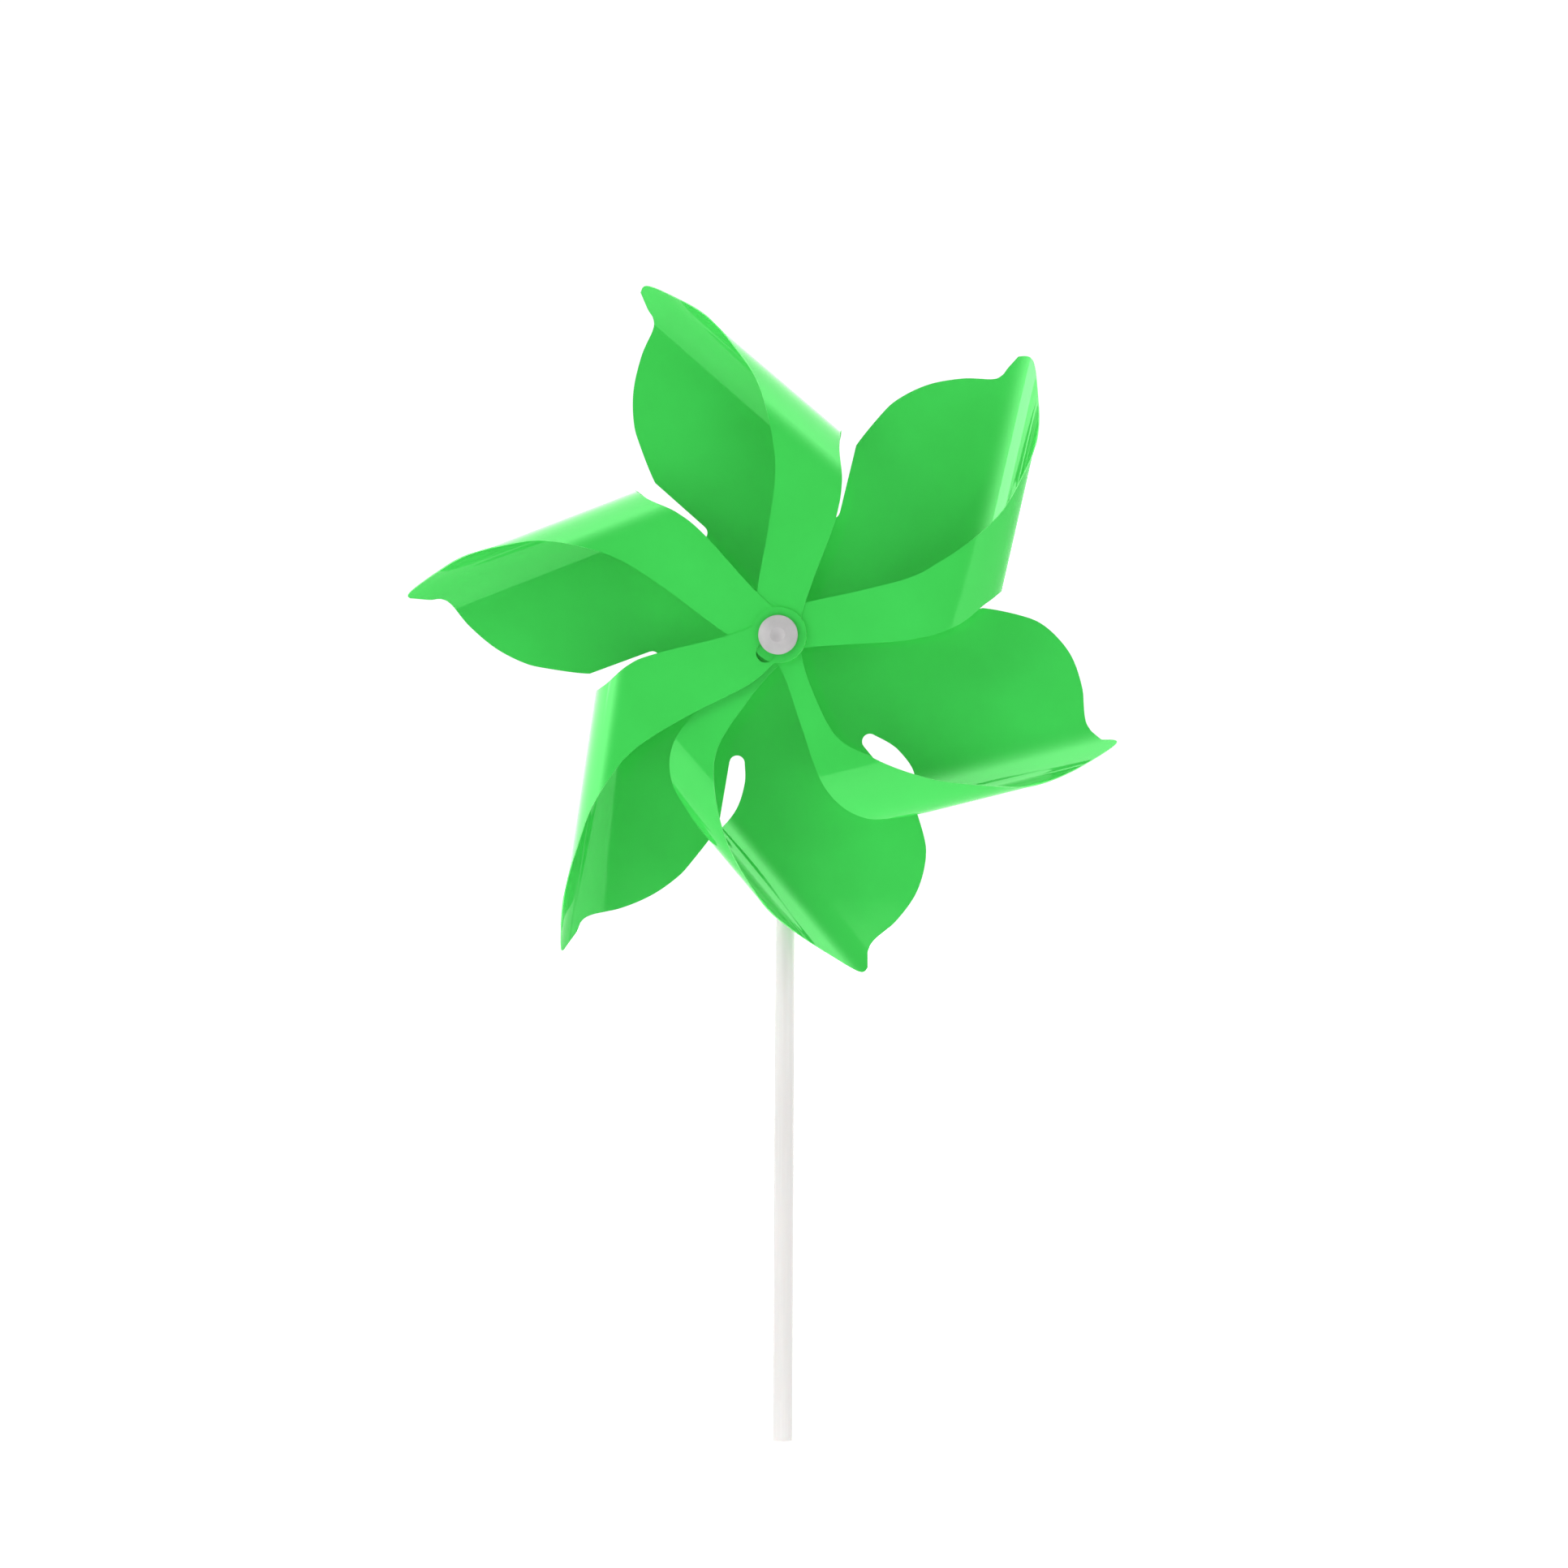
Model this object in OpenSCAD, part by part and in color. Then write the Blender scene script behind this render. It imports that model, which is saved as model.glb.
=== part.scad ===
// Six-vane pinwheel on a stick.
// Millimetres, +Z up. The wheel faces -Y. The origin is the centre of the stick's lower end.
//
// The wheel is one thin sheet. A six-sided disc sits in its middle, and six slots with round
// ends start at the disc's corners. Each vane between two slots lies flat beside the disc,
// rolls forward, and comes back to the axle as a strip that ends in a round eye tab.
// A vane is drawn in its own frame: X runs along the roll, -Y runs outward across the roll,
// and +Z is forward. A place on the vane is [share of vane_len along the roll, station], where
// the station runs 0 to 1 over the flat root, 1 to 2 round the roll and 2 to 3 along the strip.

/* [Stick] */
// Length of the stick
stick_len = 288; // [200:1:400]
// Outside diameter of the stick
stick_d = 7.4; // [6:0.1:12]
// Wall of the stick's tube
stick_wall = 0.8; // [0.5:0.1:1.2]
// Diameter of the head on the stick's top end
head_d = 9; // [8.2:0.1:12.4]
// Height of the head's straight part
head_len = 20; // [12:0.5:30]
// Height of the head's domed top
head_dome = 1.8; // [1:0.1:3]
// Depth that the head's plug reaches into the stick
plug_depth = 16; // [8:0.5:40]

/* [Axle] */
// Diameter of the axle pin
pin_d = 3.2; // [2.4:0.1:4]
// Radial clearance of the sleeve on the pin
run_gap = 0.08; // [0.03:0.01:0.1]
// Diameter of the front cap
cap_d = 14.4; // [11:0.1:20]
// Thickness of the front cap's rim
cap_rim = 1.4; // [0.8:0.1:2]
// Height of the front cap's dome above its rim
cap_dome = 2.2; // [1:0.1:3]
// Diameter of the dimple in the cap
dimple_d = 5.4; // [3:0.1:7]
// Depth of the dimple
dimple_deep = 1.1; // [0.5:0.1:1.4]
// Outside diameter of the sleeve behind the eye tabs
sleeve_d = 7.6; // [6.4:0.1:9]
// Length of the saddle spacer between the head and the wheel
saddle_len = 2.6; // [1.6:0.1:6]
// Diameter of the rear retainer
retainer_d = 8; // [6:0.1:8.8]
// Thickness of the rear retainer
retainer_t = 3; // [2:0.1:5]

/* [Wheel] */
// Thickness of the vane sheet
sheet_t = 0.4; // [0.3:0.05:0.5]
// Forward distance from the disc to the first eye tab
tab_rise = 26; // [20:0.5:34]
// Radius from the axle to the inner ends of the slots
slot_end_r = 47; // [39:0.5:57]
// Width of a slot at its round end
slot_w = 5.7; // [4:0.1:7]
// Length of a vane along its roll, from the axle to the beak
vane_len = 126.5; // [105:0.5:152]
// Radius of an eye tab
tab_r = 10.2; // [8.6:0.1:12]
// Diameter of the pin slot in an eye tab
eye_d = 7.2; // [4.4:0.1:7.6]
// Length of the pin slot between its end centres
eye_run = 8; // [4:0.5:10]
// Axial play of the wheel on the pin, shared front and back
end_play = 0.6; // [0.4:0.1:1.2]
// Turn of the first slot from the horizontal
slot_turn = 309.5; // [0:0.5:359]

/* [Hidden] */
$fn = 64;
white = [0.93, 0.93, 0.92];
cap_grey = [0.74, 0.72, 0.73];
sheet_green = [0.25, 0.78, 0.32];

// Vanes count from the rearmost eye tab to the foremost one.
vanes = 6;
// Turn of each vane's roll past its slot, in degrees
roll_turn = [1, 4.8, 7.8, 10.2, 11.5, 12.3];
// Length of sheet in each vane's roll
roll_len = [50, 68.5, 67, 57, 51.5, 41];
// How far each vane has pulled in from the free outline to the tight one, 0 to 1 or a little past it
settle = [1, 1.2, 0.45, 0.2, 0.08, 0];
// Turn of each slot, where it leaves its round end, back from the line to the axle, in degrees
slot_lean = 20;
// Turn of the pin slots outward from the roll's line, in degrees
eye_turn = 27;
// Gap between one eye tab and the next
tab_gap = 0.05;
// Rows of facets on the root, the roll, the strip and the eye tab's round end
root_rows = 20;
roll_rows = 56;
strip_rows = 24;
end_rows = 12;
// Points between two points of an outline
edge_steps = 5;

// Leading edge from the slot to the beak, free and tight, seen from the front:
// [share of vane_len from the axle, degrees past the slot]
lead_free = [[0.5, -1.4], [0.584, -1.4], [0.711, 1.8], [0.775, 3.6], [0.854, 6.8],
    [0.933, 10.8], [0.992, 14.2], [1.024, 14.9], [1.059, 14.5], [1.118, 14.4]];
lead_tight = [[0.48, 1.1], [0.568, 0.3], [0.696, 3.8], [0.767, 6.7], [0.838, 11.8],
    [0.889, 17.6], [0.921, 22.6], [0.945, 24.2], [0.968, 24.7], [0.996, 25.1]];
// Outer edge from the beak to the eye tab, free and tight
outer_free = [[0.99, 1.32], [0.88, 1.42], [0.785, 1.53], [0.688, 1.62], [0.57, 1.72],
    [0.435, 1.93], [0.356, 2.11], [0.26, 2.43], [0.154, 2.83]];
outer_tight = [[0.885, 1.18], [0.78, 1.28], [0.65, 1.41], [0.53, 1.56], [0.364, 1.71],
    [0.22, 1.91], [0.135, 2.12], [0.09, 2.48], [0.067, 2.82]];
// Inner edge along the next slot, free and tight:
// [share of vane_len from the axle, degrees before the next slot]
side_free = [[0.42, 3.9], [0.462, 5], [0.526, 5.9]];
side_tight = [[0.442, 5.4], [0.52, 5.1], [0.59, 2.4]];
// Inner edge from the slot's end to the eye tab, free and tight
inner_free = [[0.245, 1.5], [0.22, 1.72], [0.152, 1.92], [0.105, 2.13], [0.026, 2.62], [-0.028, 2.86]];
inner_tight = [[0.302, 1.48], [0.235, 1.58], [0.12, 1.69], [0.035, 1.93], [0.004, 2.37], [-0.02, 2.77]];

axle_z = stick_len + head_len / 2;
pin_r = pin_d / 2;
stick_r = stick_d / 2;
head_r = head_d / 2;
slot_centre_r = slot_end_r + slot_w / 2;
// The roll starts where the slots' round ends stop, so the disc stays flat.
flat_w = slot_centre_r;
// Forward distances, measured from the axle's crossing with the head
disc_back = head_r + saddle_len + end_play / 2;
disc_mid = disc_back + sheet_t / 2;
tab_pitch = sheet_t + tab_gap;
sleeve_back = disc_back + sheet_t;
sleeve_front = disc_mid + tab_rise - sheet_t / 2;
stack_front = sleeve_front + (vanes - 1) * tab_pitch + sheet_t;
cap_back = stack_front + end_play / 2;
cap_socket = cap_rim + 0.4;
retainer_back = head_r + retainer_t;
retainer_socket = retainer_t - 0.8;
pin_front = cap_back + cap_socket;
pin_rear = head_r + retainer_socket;
// The hub's bores run free of the sleeve by this much.
hub_gap = 0.25;
// Smallest step between two rows of a vane, in stations
join = 0.004;
// Least step from the beak's tip to the outer edge's next point, in stations
tip_round = 0.04;

function tab_depth(k) = tab_rise + k * tab_pitch;

// Where the pin sits along a tab's pin slot: at its inner end on the foremost tab, halfway on the rest
function eye_slip(k) = k == vanes - 1 ? 0 : eye_run / 2;

// A smooth run through the points of an outline
function run(p) = concat(
    [for (i = [0:len(p) - 2], j = [0:edge_steps - 1])
        let (a = p[max(i - 1, 0)], b = p[i], c = p[i + 1], d = p[min(i + 2, len(p) - 1)],
             t = j / edge_steps)
        0.5 * (2 * b + (c - a) * t + (2 * a - 5 * b + 4 * c - d) * t * t
            + (3 * b - a - 3 * c + d) * t * t * t)],
    [p[len(p) - 1]]);

function mix(a, b, t) = a + (b - a) * t;

// Turn of the sheet at share x of the roll, and the running sums that give its section
function bend(x) = 90 * (1 - cos(180 * x));
roll_step = 1 / 120;
roll_section = [for (i = 0, out = 0, rise = 0; i <= 120;
    i = i + 1,
    out = out + roll_step * cos(bend((i - 0.5) * roll_step)),
    rise = rise + roll_step * sin(bend((i - 0.5) * roll_step)))
        [i * roll_step, out, rise]];
out_table = [for (r = roll_section) [r[0], r[1]]];
rise_table = [for (r = roll_section) [r[0], r[2]]];
back_table = [for (i = [0:60]) [roll_section[i][1], roll_section[i][0]]];
full_rise = roll_section[120][2];

// Outward and forward place of station s on vane k
function section(k, s) =
    s < 1 ? [s * flat_w, 0]
    : s > 2 ? [(3 - s) * flat_w, tab_depth(k)]
    : [flat_w + roll_len[k] * lookup(s - 1, out_table),
       tab_depth(k) * lookup(s - 1, rise_table) / full_rise];

// Station on the root, or on the roll's rear half, that lies this far outward on vane k
function rear_station(k, out) =
    out < flat_w ? out / flat_w : 1 + lookup((out - flat_w) / roll_len[k], back_table);

// Unit vector square to vane k's sheet at station s
function square_to(k, s) =
    s <= 1 ? [0, 1] : s >= 2 ? [0, -1] :
    let (a = roll_len[k] * cos(bend(s - 1)), b = tab_depth(k) / full_rise * sin(bend(s - 1)))
    [-b, a] / norm([a, b]);

// Centre of a slot's round end, [along, outward]: side 0 is vane k's own slot, side 1 the next
function slot_centre(k, side) =
    let (a = roll_turn[k] + 60 * side) slot_centre_r * [cos(a), sin(a)];

// The three edges of vane k, as [distance along the roll, station]
function settled(k, free, tight) = [for (i = [0:len(free) - 1]) mix(free[i], tight[i], settle[k])];
function rear_point(k, r, a) = [r * cos(a), rear_station(k, r * sin(a))];
function lead_points(k) =
    [for (p = settled(k, lead_free, lead_tight)) rear_point(k, p[0] * vane_len, roll_turn[k] + p[1])];
function side_points(k) =
    [for (p = settled(k, side_free, side_tight)) rear_point(k, p[0] * vane_len, roll_turn[k] + 60 - p[1])];
function edge_points(k, free, tight) =
    [for (p = settled(k, free, tight)) [p[0] * vane_len, p[1]]];
function lead_edge(k) =
    let (c = slot_centre(k, 0)) run(concat([[c[0], (c[1] + slot_w / 2) / flat_w]], lead_points(k)));
function outer_edge(k) =
    let (lead = lead_points(k), tip = lead[len(lead) - 1], edge = edge_points(k, outer_free, outer_tight),
         first = edge[0][1], start = max(first, tip[1] + tip_round))
    run(concat([tip], [for (p = edge) [p[0], 3 - (3 - p[1]) * (3 - start) / (3 - first)]], [[tab_r, 3]]));
function inner_edge(k) =
    let (c = slot_centre(k, 1), a = roll_turn[k] + 60 - slot_lean)
    run(concat([[c[0] + slot_w / 2 * sin(a), (c[1] - slot_w / 2 * cos(a)) / flat_w]], side_points(k),
        edge_points(k, inner_free, inner_tight), [[-tab_r, 3]]));
function table(points) = [for (p = points) [p[1], p[0]]];

// Half the eye tab's width this far outward from the axle
function tab_half(out) = abs(out) < tab_r ? sqrt(tab_r * tab_r - out * out) : 0;

// Rows across vane k from the disc to the eye tab: [station, near end, far end]
function rows(k) =
    let (own = slot_centre(k, 0), next = slot_centre(k, 1),
         far = concat([[own[1] / flat_w, own[0]]], table(lead_edge(k)), table(outer_edge(k))),
         inner = table(inner_edge(k)),
         meet = inner[0][0] - join,
         share = (meet * flat_w - own[1]) / (next[1] - own[1]),
         near = concat([[own[1] / flat_w, own[0]], [meet, mix(own[0], next[0], share)]], inner),
         first = own[1] / flat_w + join)
    concat(
        [for (i = [0:root_rows - 1]) let (s = mix(first, 1, i / root_rows))
            [s, lookup(s, near), lookup(s, far)]],
        [for (i = [0:roll_rows - 1]) let (s = 1 + i / roll_rows)
            [s, lookup(s, near), lookup(s, far)]],
        [for (i = [0:strip_rows - 1]) let (s = 2 + i / strip_rows, w = tab_half((3 - s) * flat_w))
            w > 0 ? [s, min(lookup(s, near), -w), max(lookup(s, far), w)]
                : [s, lookup(s, near), lookup(s, far)]],
        [for (i = [0:end_rows]) let (a = 86 * i / end_rows)
            [3 + tab_r * sin(a) / flat_w, -tab_r * cos(a), tab_r * cos(a)]]);

// Everything on the axle is drawn forward along +Z, from the axle's crossing with the head.
module on_axle() {
    translate([0, 0, axle_z]) rotate([90, 0, 0]) children();
}

module ring(r_out, r_in, z0, z1) {
    translate([0, 0, z0]) difference() {
        cylinder(r = r_out, h = z1 - z0);
        translate([0, 0, -1]) cylinder(r = r_in, h = z1 - z0 + 2);
    }
}

// Six-sided middle of the sheet, with a quarter of each slot's round end cut from its corners
module vane_disc() {
    color(sheet_green) on_axle() translate([0, 0, disc_back]) difference() {
        linear_extrude(sheet_t) rotate(slot_turn) circle(r = slot_centre_r, $fn = 6);
        translate([0, 0, -1]) cylinder(r = pin_r + run_gap + hub_gap, h = sheet_t + 2);
        for (k = [0:vanes - 1]) rotate(slot_turn + 60 * k) translate([slot_centre_r, 0, -1])
            cylinder(r = slot_w / 2, h = sheet_t + 2);
    }
}

// One vane: straight lines along the roll, joined row by row from the disc to the eye tab
module vane_sheet(k) {
    list = rows(k);
    last = 4 * (len(list) - 1);
    points = [for (r = list, side = [-1, 1])
        let (c = section(k, r[0]) + side * sheet_t / 2 * square_to(k, r[0]))
        each [[r[1], -c[0], c[1]], [r[2], -c[0], c[1]]]];
    sides = [for (a = [0:4:last - 4]) let (b = a + 4) each [
        [a, a + 1, b + 1, b], [a + 2, b + 2, b + 3, a + 3],
        [a, b, b + 2, a + 2], [a + 1, a + 3, b + 3, b + 1]]];
    polyhedron(points, concat(sides, [[0, 2, 3, 1], [last, last + 1, last + 3, last + 2]]));
}

module vane(k) {
    color(sheet_green) on_axle() translate([0, 0, disc_mid])
        rotate(slot_turn + 60 * k + roll_turn[k]) difference() {
            vane_sheet(k);
            for (c = [slot_centre(k, 0), slot_centre(k, 1)]) translate([c[0], -c[1], -1])
                cylinder(r = slot_w / 2, h = 2);
            translate([0, 0, tab_depth(k) - 1]) rotate(-eye_turn) translate([-eye_slip(k), 0, 0]) {
                cylinder(r = eye_d / 2, h = 2);
                translate([0, -eye_d / 2, 0]) cube([eye_run, eye_d, 2]);
                translate([eye_run, 0, 0]) cylinder(r = eye_d / 2, h = 2);
            }
        }
}

// Sleeve on the pin that keeps the eye tabs forward of the disc
module tab_sleeve() {
    color(white) on_axle() ring(sleeve_d / 2, pin_r + run_gap, sleeve_back, sleeve_front);
}

// Pin that the wheel turns on, pressed through the head
module axle_pin() {
    color(cap_grey) on_axle() translate([0, 0, -pin_rear]) cylinder(r = pin_r, h = pin_front + pin_rear);
}

// Domed cap with a dimple, pressed on the pin's front end
module front_cap() {
    dome_r = (pow(cap_d / 2, 2) + pow(cap_dome, 2)) / (2 * cap_dome);
    dimple_r = (pow(dimple_d / 2, 2) + pow(dimple_deep, 2)) / (2 * dimple_deep);
    color(cap_grey) on_axle() translate([0, 0, cap_back]) difference() {
        union() {
            cylinder(r = cap_d / 2, h = cap_rim);
            intersection() {
                translate([0, 0, cap_rim]) cylinder(r = cap_d / 2, h = cap_dome + 1);
                translate([0, 0, cap_rim + cap_dome - dome_r]) sphere(r = dome_r);
            }
        }
        translate([0, 0, -1]) cylinder(r = pin_r, h = cap_socket + 1);
        translate([0, 0, cap_rim + cap_dome - dimple_deep + dimple_r]) sphere(r = dimple_r);
    }
}

// Spacer whose back is hollowed to sit on the round head
module saddle_spacer() {
    color(white) difference() {
        on_axle() ring(sleeve_d / 2, pin_r + run_gap, head_r / 2, head_r + saddle_len);
        translate([0, 0, stick_len]) cylinder(r = head_r, h = head_len);
    }
}

// Push-on retainer behind the head, hollowed to sit on it
module rear_retainer() {
    color(cap_grey) difference() {
        on_axle() translate([0, 0, -retainer_back]) difference() {
            cylinder(r = retainer_d / 2, h = retainer_back - head_r / 2);
            translate([0, 0, retainer_t - retainer_socket]) cylinder(r = pin_r, h = retainer_back);
        }
        translate([0, 0, stick_len]) cylinder(r = head_r, h = head_len);
    }
}

// Plain tube
module stick() {
    color(white) ring(stick_r, stick_r - stick_wall, 0, stick_len);
}

// Head that plugs into the stick's top end and holds the axle pin in its cross bore
module stick_head() {
    dome_z = stick_len + head_len;
    dome_r = (pow(head_r, 2) + pow(head_dome, 2)) / (2 * head_dome);
    color(white) difference() {
        union() {
            translate([0, 0, stick_len - plug_depth]) cylinder(r = stick_r - stick_wall, h = plug_depth);
            translate([0, 0, stick_len]) cylinder(r = head_r, h = head_len);
            intersection() {
                translate([0, 0, dome_z]) cylinder(r = head_r, h = head_dome + 1);
                translate([0, 0, dome_z + head_dome - dome_r]) sphere(r = dome_r);
            }
        }
        on_axle() translate([0, 0, -head_d]) cylinder(r = pin_r, h = 2 * head_d);
    }
}

stick();
stick_head();
axle_pin();
saddle_spacer();
rear_retainer();
front_cap();
tab_sleeve();
vane_disc();
for (k = [0:vanes - 1])
    vane(k);
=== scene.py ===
"""Looks of a six-vane pinwheel on a stick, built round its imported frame.

Lengths are in metres and the axes are the frame's own: +Z up, the wheel faces -Y, and the
origin is the centre of the stick's lower end.
"""

import logging
import math
from dataclasses import dataclass
from enum import Enum
from typing import Iterable, Sequence

import bmesh
import bpy
import numpy as np
from mathutils import Matrix, Vector


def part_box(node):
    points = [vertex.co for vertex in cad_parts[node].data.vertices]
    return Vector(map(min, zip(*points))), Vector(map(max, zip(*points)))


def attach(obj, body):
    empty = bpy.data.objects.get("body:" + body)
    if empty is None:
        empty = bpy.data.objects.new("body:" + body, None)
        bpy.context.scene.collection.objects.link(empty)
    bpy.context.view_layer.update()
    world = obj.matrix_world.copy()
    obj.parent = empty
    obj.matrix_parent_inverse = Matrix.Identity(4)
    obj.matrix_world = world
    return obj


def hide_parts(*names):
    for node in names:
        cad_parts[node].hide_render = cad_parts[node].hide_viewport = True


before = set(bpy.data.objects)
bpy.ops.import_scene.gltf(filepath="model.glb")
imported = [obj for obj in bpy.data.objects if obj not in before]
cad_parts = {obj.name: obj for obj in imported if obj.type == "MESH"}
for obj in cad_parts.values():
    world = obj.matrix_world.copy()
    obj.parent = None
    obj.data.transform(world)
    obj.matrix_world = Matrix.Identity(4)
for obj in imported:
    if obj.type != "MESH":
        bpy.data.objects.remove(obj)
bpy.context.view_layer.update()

MM = 0.001
WELD = 2e-6
SHARP = math.radians(35)
LOG = logging.getLogger("pinwheel")

Rgb = tuple[float, float, float]
Pair = tuple[float, float]
Corner = tuple[float, float, float]


class Body(Enum):
    """The bodies that the frame's joint divides the object into."""

    STAND = "stand"
    WHEEL = "wheel"


class Slot(Enum):
    """The record's material slots."""

    SHEET = "vane_sheet"
    STICK = "stick_plastic"
    CAP = "cap_plastic"
    FITTING = "fitting_plastic"


WHITE_TONES: tuple[Rgb, Rgb] = ((0.76, 0.755, 0.74), (0.82, 0.815, 0.80))


# --- Finishes ---------------------------------------------------------------------------


class ShaderBoard:
    """A new material's nodes, with short calls for what the finishes share."""

    def __init__(self, name: str) -> None:
        """Starts a material that holds one shader.

        Args:
            name: The material's name.
        """
        self.material = bpy.data.materials.new(name)
        self.material.use_nodes = True
        self.nodes = self.material.node_tree.nodes
        self.links = self.material.node_tree.links
        self.shader = self.nodes["Principled BSDF"]
        self.place = self.nodes.new("ShaderNodeTexCoord").outputs["Object"]

    def set(self, **values: float) -> None:
        """Sets the shader's own sockets.

        Args:
            **values: Socket names, with _ for a space, and their values.
        """
        for name, value in values.items():
            self.shader.inputs[name.replace("_", " ")].default_value = value

    def feed(self, socket: str, source: bpy.types.NodeSocket) -> None:
        """Links a source into one of the shader's sockets.

        Args:
            socket: Name of the shader's socket.
            source: The output that drives it.
        """
        self.links.new(source, self.shader.inputs[socket])

    def noise(
        self, size: float, detail: float = 3.0, stretch: Sequence[float] = (1, 1, 1)
    ) -> bpy.types.NodeSocket:
        """Adds noise of a given real size.

        Args:
            size: Distance across one blotch, in metres.
            detail: Layers of finer noise.
            stretch: How much longer the blotches are along each axis.

        Returns:
            The noise's output, from 0 to 1.
        """
        mapping = self.nodes.new("ShaderNodeMapping")
        mapping.inputs["Scale"].default_value = [1 / (size * s) for s in stretch]
        self.links.new(self.place, mapping.inputs["Vector"])
        noise = self.nodes.new("ShaderNodeTexNoise")
        noise.inputs["Scale"].default_value = 1.0
        noise.inputs["Detail"].default_value = detail
        self.links.new(mapping.outputs["Vector"], noise.inputs["Vector"])
        return noise.outputs["Fac"]

    def spread(self, source: bpy.types.NodeSocket, low: float, high: float) -> bpy.types.NodeSocket:
        """Maps the middle of a noise's range to a range of values.

        Args:
            source: A value from 0 to 1.
            low: Result for the noise's low values.
            high: Result for the noise's high values.

        Returns:
            The mapped value.
        """
        node = self.nodes.new("ShaderNodeMapRange")
        node.inputs["From Min"].default_value = 0.3
        node.inputs["From Max"].default_value = 0.7
        node.inputs["To Min"].default_value = low
        node.inputs["To Max"].default_value = high
        self.links.new(source, node.inputs["Value"])
        return node.outputs["Result"]

    def tint(self, source: bpy.types.NodeSocket, low: Rgb, high: Rgb) -> bpy.types.NodeSocket:
        """Blends two colours by a noise.

        Args:
            source: A value from 0 to 1.
            low: Colour where the noise is low.
            high: Colour where the noise is high.

        Returns:
            The blended colour.
        """
        ramp = self.nodes.new("ShaderNodeValToRGB")
        ramp.color_ramp.elements[0].position = 0.3
        ramp.color_ramp.elements[0].color = (*low, 1)
        ramp.color_ramp.elements[1].position = 0.7
        ramp.color_ramp.elements[1].color = (*high, 1)
        self.links.new(source, ramp.inputs["Fac"])
        return ramp.outputs["Color"]

    def bump(self, *layers: tuple[bpy.types.NodeSocket, float]) -> None:
        """Raises the surface by layers of noise.

        Args:
            *layers: Each noise and the height that it raises the surface, in metres.
        """
        below = None
        for source, height in layers:
            node = self.nodes.new("ShaderNodeBump")
            node.inputs["Distance"].default_value = height
            self.links.new(source, node.inputs["Height"])
            if below:
                self.links.new(below, node.inputs["Normal"])
            below = node.outputs["Normal"]
        self.feed("Normal", below)


@dataclass(frozen=True)
class SheetFinish:
    """Glossy plastic sheet with the faint ripple that rolling leaves in it."""

    name: str = "green_gloss_sheet"
    dark: Rgb = (0.042, 0.520, 0.072)
    light: Rgb = (0.048, 0.570, 0.084)
    rough: Pair = (0.04, 0.07)
    glint: Rgb = (0.36, 1.0, 0.42)
    ripple: float = 0.05 * MM

    def make(self) -> bpy.types.Material:
        """Returns the sheet's material."""
        board = ShaderBoard(self.name)
        board.feed("Base Color", board.tint(board.noise(40 * MM), self.dark, self.light))
        board.feed("Roughness", board.spread(board.noise(9 * MM, 6), *self.rough))
        board.set(IOR=1.5, Specular_IOR_Level=1.0, Specular_Tint=(*self.glint, 1))
        board.bump((board.noise(26 * MM, 1), self.ripple))
        return board.material


@dataclass(frozen=True)
class CutEdgePaintedHighlightFinish:
    """The sheet's die-cut edge, duller than its faces, and paler than them as a painted highlight that
    stands in for the bright line of light along the cut.
    """

    name: str = "green_cut_edge_painted_highlight"
    dark: Rgb = (0.12, 0.72, 0.16)
    light: Rgb = (0.20, 0.85, 0.24)

    def make(self) -> bpy.types.Material:
        """Returns the cut edge's material."""
        board = ShaderBoard(self.name)
        # The pale greens are a painted highlight: the bright line of light along the cut edges, painted
        # into the colour.
        board.feed("Base Color", board.tint(board.noise(3 * MM), self.dark, self.light))
        board.feed("Roughness", board.spread(board.noise(1 * MM), 0.4, 0.55))
        board.bump((board.noise(0.3 * MM), 0.01 * MM))
        return board.material


@dataclass(frozen=True)
class TubeFinish:
    """White extruded tube with faint draw lines along it."""

    name: str = "white_extruded_tube"
    dark: Rgb = (0.64, 0.62, 0.61)
    light: Rgb = (0.70, 0.68, 0.67)

    def make(self) -> bpy.types.Material:
        """Returns the tube's material."""
        board = ShaderBoard(self.name)
        lines = board.noise(0.35 * MM, 2, (1, 1, 120))
        board.feed("Base Color", board.tint(board.noise(14 * MM, 3, (1, 1, 6)), self.dark, self.light))
        board.feed("Roughness", board.spread(lines, 0.20, 0.30))
        board.set(IOR=1.5, Specular_IOR_Level=0.25, Subsurface_Weight=0.08, Subsurface_Scale=1.5 * MM)
        board.bump((lines, 0.004 * MM), (board.noise(9 * MM, 1), 0.02 * MM))
        return board.material


@dataclass(frozen=True)
class MouldedFinish:
    """Satin moulded plastic with a fine spark-eroded grain."""

    name: str
    dark: Rgb
    light: Rgb
    rough: Pair = (0.34, 0.46)

    def make(self) -> bpy.types.Material:
        """Returns the moulded plastic's material."""
        board = ShaderBoard(self.name)
        board.feed("Base Color", board.tint(board.noise(5 * MM), self.dark, self.light))
        board.feed("Roughness", board.spread(board.noise(1.2 * MM), *self.rough))
        board.set(IOR=1.47, Specular_IOR_Level=0.3)
        board.bump((board.noise(0.16 * MM, 2), 0.006 * MM), (board.noise(4 * MM, 1), 0.02 * MM))
        return board.material


# --- Mesh making ------------------------------------------------------------------------


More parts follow.
